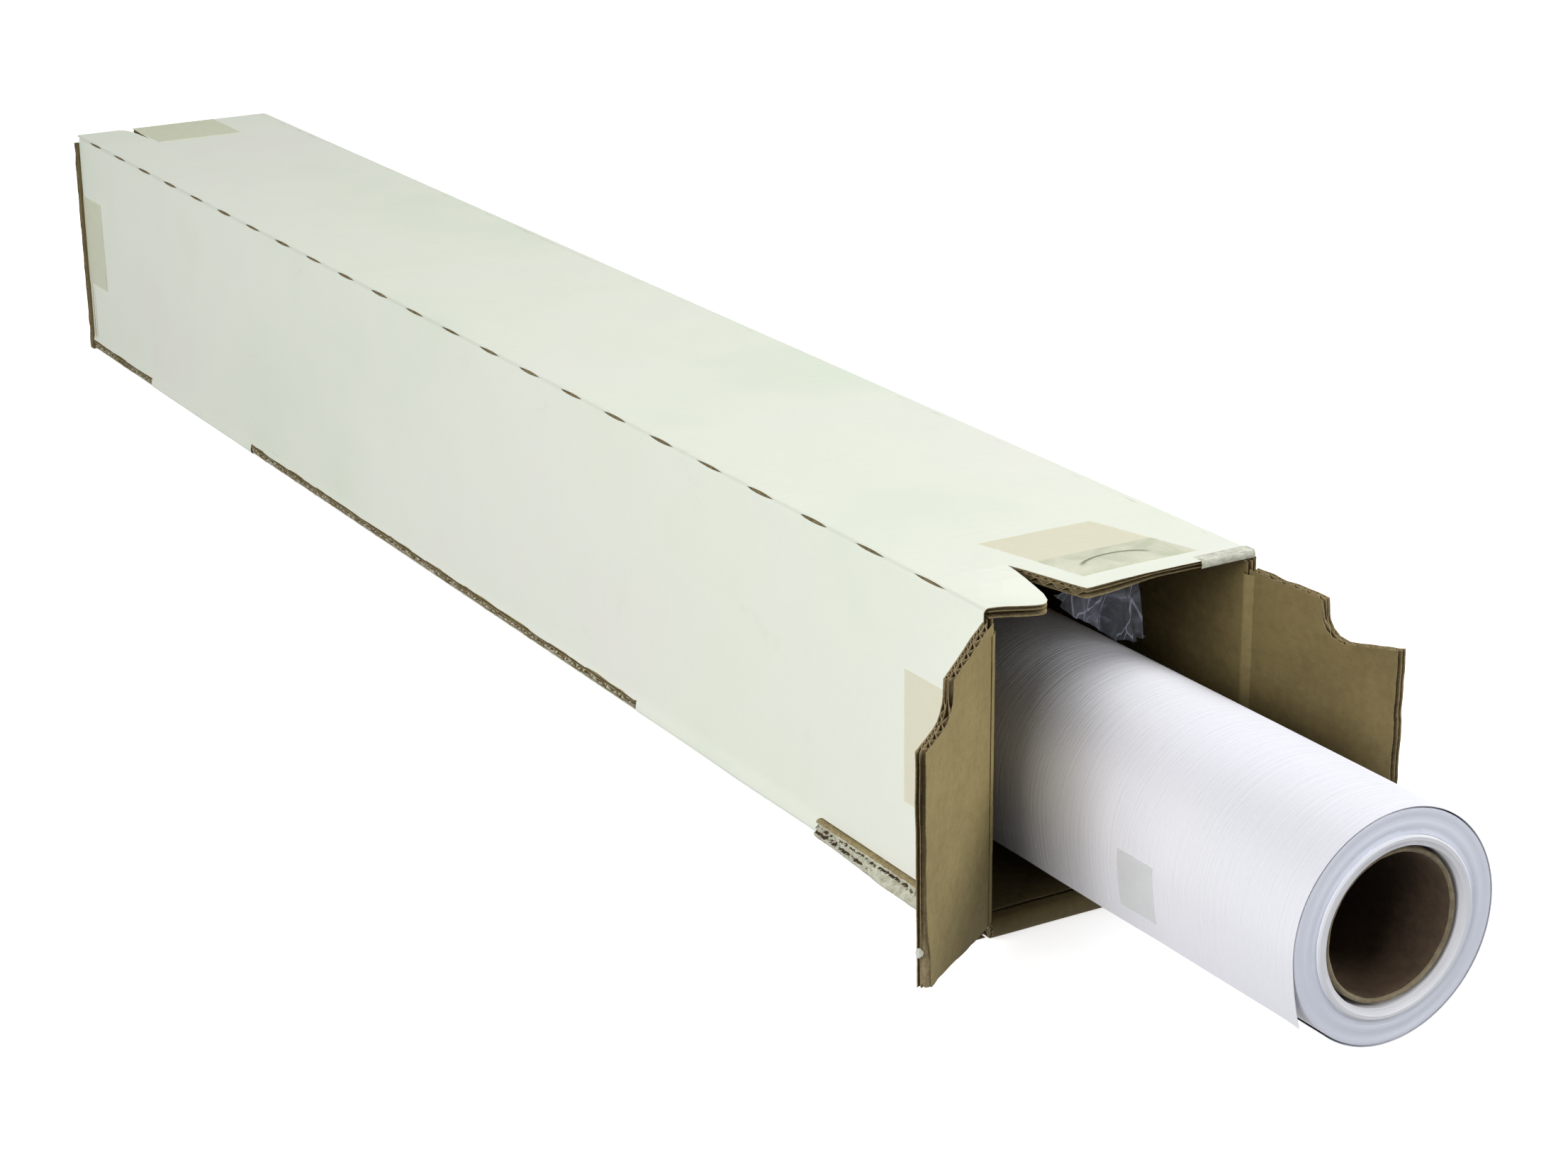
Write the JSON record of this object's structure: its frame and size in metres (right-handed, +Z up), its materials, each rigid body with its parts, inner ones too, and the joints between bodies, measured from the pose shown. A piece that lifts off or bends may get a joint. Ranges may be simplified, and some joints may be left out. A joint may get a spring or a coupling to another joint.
{
  "type": "backdrop paper roll",
  "caption": "Roll of white backdrop paper on a hollow core, drawn part-way out of its long square-section corrugated shipping carton with open end flaps.",
  "frame": {"origin": "centre of the carton's base on the surface it lies on", "axes": "+X along the carton to its open end and along the roll's axis, +Y to the lid's hinge side, +Z up"},
  "size_m": [1.0889, 0.1791, 0.1273],
  "materials": {
    "carton_board": "matte white-coated outer liner, brown kraft inner liner, raw fluted edges",
    "flap_board": "matte brown kraft liner inside, white-coated liner outside",
    "masking_tape": "thin creped beige paper tape, slightly satin",
    "clear_film": "clear crumpled polythene film",
    "core_board": "spiral-wound brown board",
    "white_paper": "matte bright white paper",
    "clear_tape": "thin translucent tape, satin"
  },
  "bodies": {
    "carton": {"lower_floor": "carton_board", "upper_floor": "flap_board", "right_wall": "carton_board", "poly_bag": "clear_film"},
    "lid": {"top_panel": "carton_board", "near_top_tape": "masking_tape", "far_top_tape": "masking_tape"},
    "front": {"front_panel": "carton_board", "near_lock_tab": "carton_board", "far_lock_tab": "carton_board", "far_left_flap": "flap_board", "near_side_tape": "masking_tape", "far_side_tape": "masking_tape"},
    "near_left": {"near_left_flap": "flap_board"},
    "near_right": {"near_right_flap": "flap_board"},
    "near_bottom": {"near_bottom_flap": "flap_board"},
    "far_right": {"far_right_flap": "flap_board"},
    "far_end": {"far_end_flap": "carton_board", "far_end_tape_top": "masking_tape", "far_end_tape_side": "masking_tape"},
    "wrap": {"outer_wrap": "white_paper", "sheet_tape": "clear_tape"},
    "roll": {"core": "core_board", "inner_turns": "white_paper", "wound_paper": "white_paper"}
  },
  "joints": [
    {"name": "lid_open", "type": "hinge", "parent": "carton", "child": "lid", "pos_m": [0, 0.0595, 0.127], "axis": [-1, 0, 0], "range_deg": [0, 170]},
    {"name": "front_open", "type": "hinge", "parent": "lid", "child": "front", "pos_m": [0, -0.0595, 0.127], "axis": [-1, 0, 0], "range_deg": [0, 5.5]},
    {"name": "near_left_fold", "type": "hinge", "parent": "front", "child": "near_left", "pos_m": [0.47, -0.0595, 0.0635], "axis": [0, 0, 1], "range_deg": [-113, 60]},
    {"name": "near_right_fold", "type": "hinge", "parent": "carton", "child": "near_right", "pos_m": [0.47, 0.0595, 0.0635], "axis": [0, 0, 1], "range_deg": [-7, 160]},
    {"name": "near_bottom_fold", "type": "hinge", "parent": "carton", "child": "near_bottom", "pos_m": [0.469, 0, 0.004], "axis": [0, -1, 0], "range_deg": [0, 175]},
    {"name": "far_right_fold", "type": "hinge", "parent": "carton", "child": "far_right", "pos_m": [-0.4574, 0.0545, 0.0635], "axis": [0, 0, 1], "range_deg": [0, 80]},
    {"name": "far_end_open", "type": "hinge", "parent": "carton", "child": "far_end", "pos_m": [-0.47, 0, 0], "axis": [0, -1, 0], "range_deg": [0, 90]},
    {"name": "roll_draw", "type": "slide", "parent": "carton", "child": "wrap", "axis": [1, 0, 0], "range_m": [-0.16, 0.7]},
    {"name": "roll_spin", "type": "hinge", "parent": "wrap", "child": "roll", "pos_m": [0, 0.0028, 0.0504], "axis": [1, 0, 0], "continuous": true}
  ]
}
